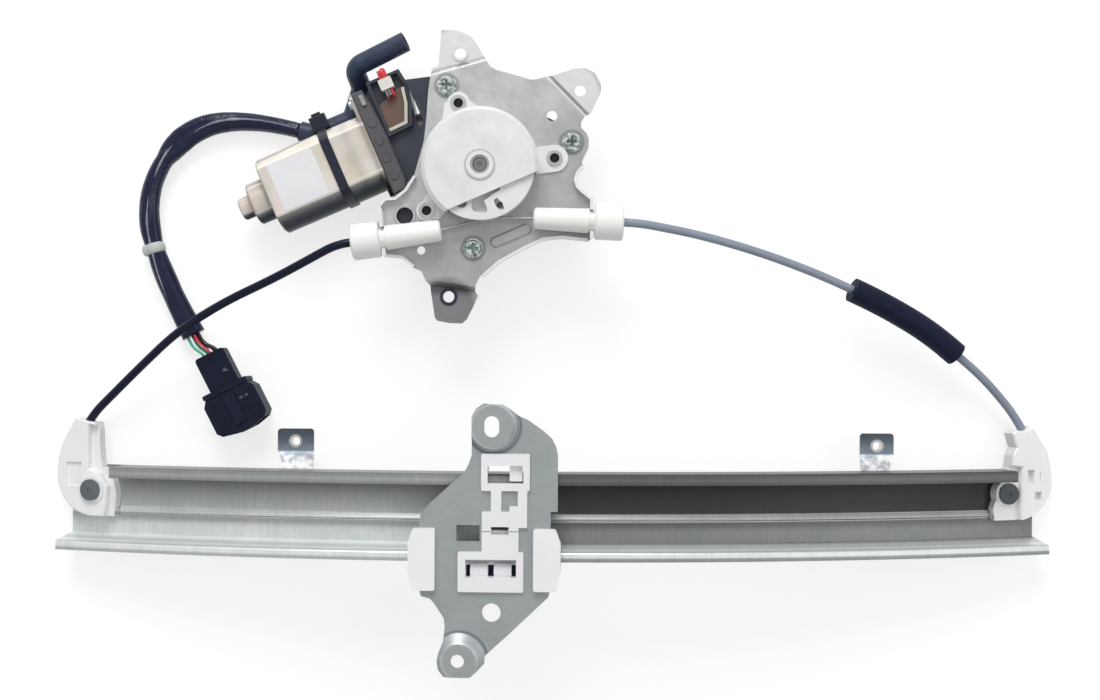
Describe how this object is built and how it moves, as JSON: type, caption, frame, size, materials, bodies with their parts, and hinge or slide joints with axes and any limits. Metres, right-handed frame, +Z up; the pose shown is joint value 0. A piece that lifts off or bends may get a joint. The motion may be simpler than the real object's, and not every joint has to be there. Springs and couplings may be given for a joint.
{
  "type": "window regulator",
  "caption": "Cable-driven power window regulator: a geared motor winds a cable drum that pulls a glass carrier along a bowed guide rail.",
  "frame": {"origin": "centre of the regulator's box on the surface it lies on", "axes": "+X along the guide rail towards the end farther from the motor, +Y from the rail towards the motor plate, +Z up out of the surface"},
  "size_m": [0.6007, 0.3729, 0.0718],
  "materials": {
    "rail_steel": "satin galvanised, fine grain across the rail",
    "bracket_steel": "bluish zinc plate",
    "carrier_steel": "satin zinc plate",
    "plate_steel": "satin zinc plate with bright folded edges",
    "rivet_steel": "satin",
    "screw_steel": "bright zinc plate",
    "cover_metal": "matt light grey",
    "guide_plastic": "moulded white acetal",
    "ferrule_plastic": "moulded natural acetal",
    "drum_plastic": "moulded white acetal",
    "wheel_plastic": "moulded natural nylon",
    "cable_steel": "greased stranded wire",
    "nipple_zinc": "die cast zinc",
    "left_conduit_jacket": "black extruded jacket",
    "right_conduit_jacket": "grey extruded jacket",
    "foam_sleeve": "matt black foam",
    "housing_plastic": "glass filled black nylon",
    "shaft_steel": "ground",
    "can_steel": "drawn steel can, yellowish zinc plate",
    "magnet_ferrite": "sintered ferrite",
    "bush_bronze": "sintered bronze",
    "armature_core": "laminated core with windings",
    "cap_plastic": "black moulded cap",
    "board_brown": "brown laminate board",
    "board_cream": "cream moulded frame",
    "block_white": "white terminal block",
    "block_wire_red": "red insulated wire",
    "clip_steel": "tinned spring clip",
    "tie_black": "black nylon tie",
    "tube_black": "black vinyl tube",
    "sleeve_black": "black vinyl sleeve",
    "tape_white": "white tape",
    "plug_black": "black moulded connector",
    "terminal_brass": "tinned brass",
    "wire_red": "red insulation",
    "wire_green": "green insulation",
    "wire_white": "white insulation"
  },
  "bodies": {
    "frame": {"base_plate": "plate_steel", "block_wires": "block_wire_red", "board_frame": "board_cream", "bracket_nuts": "bracket_steel", "brush_cap": "cap_plastic", "can_screws": "screw_steel", "can_tie": "tie_black", "conduit_sleeve": "foam_sleeve", "cover_rivets": "rivet_steel", "drum_cover": "cover_metal", "earth_clip": "clip_steel", "gearbox_housing": "housing_plastic", "gearbox_lid": "housing_plastic", "green_wires": "wire_green", "guide_rail": "rail_steel", "harness_plug": "plug_black", "harness_sleeve": "sleeve_black", "harness_tape": "tape_white", "harness_tube": "tube_black", "left_bracket": "bracket_steel", "left_conduit": "left_conduit_jacket", "left_end_guide": "guide_plastic", "left_entry_wire": "cable_steel", "left_ferrule_body": "ferrule_plastic", "left_ferrule_cap": "ferrule_plastic", "left_guide_rivet": "rivet_steel", "left_guide_wire": "cable_steel", "left_rail_wire": "cable_steel", "lid_screws": "screw_steel", "motor_can": "can_steel", "motor_magnets": "magnet_ferrite", "motor_screws": "screw_steel", "plug_terminals": "terminal_brass", "red_wires": "wire_red", "right_bracket": "bracket_steel", "right_conduit": "right_conduit_jacket", "right_end_guide": "guide_plastic", "right_entry_wire": "cable_steel", "right_ferrule_body": "ferrule_plastic", "right_ferrule_cap": "ferrule_plastic", "right_guide_rivet": "rivet_steel", "right_guide_wire": "cable_steel", "right_rail_wire": "cable_steel", "sensor_board": "board_brown", "shaft_bushes": "bush_bronze", "white_wire": "wire_white", "wire_block": "block_white"},
    "rotor": {"armature": "armature_core", "worm": "shaft_steel"},
    "drum": {"worm_wheel": "wheel_plastic", "output_shaft": "shaft_steel", "cable_drum": "drum_plastic", "wound_cable": "cable_steel"},
    "carrier": {"carrier_plate": "carrier_steel", "carrier_slider": "guide_plastic", "slider_pads": "guide_plastic", "cable_nipples": "nipple_zinc"}
  },
  "joints": [
    {"name": "armature_spin", "type": "hinge", "parent": "frame", "child": "rotor", "pos_m": [-0.05719, 0.13797, 0.02], "axis": [0.9164, 0.4003, 0], "range_deg": [-24725, 16410]},
    {"name": "drum_spin", "type": "hinge", "parent": "frame", "child": "drum", "pos_m": [-0.0427, 0.1048, 0.03], "axis": [0, 0, 1], "range_deg": [-475.53, 315.63]},
    {"name": "carrier_travel", "type": "hinge", "parent": "frame", "child": "carrier", "pos_m": [0, 0, -0.95457], "axis": [0, 1, 0], "range_deg": [-9.28, 13.98], "deforming": ["left_rail_wire", "right_rail_wire"]}
  ],
  "couplings": [
    {"joint": "drum_spin", "follows": "armature_spin", "ratio": 0.019231},
    {"joint": "carrier_travel", "follows": "armature_spin", "ratio": -0.00056527}
  ]
}
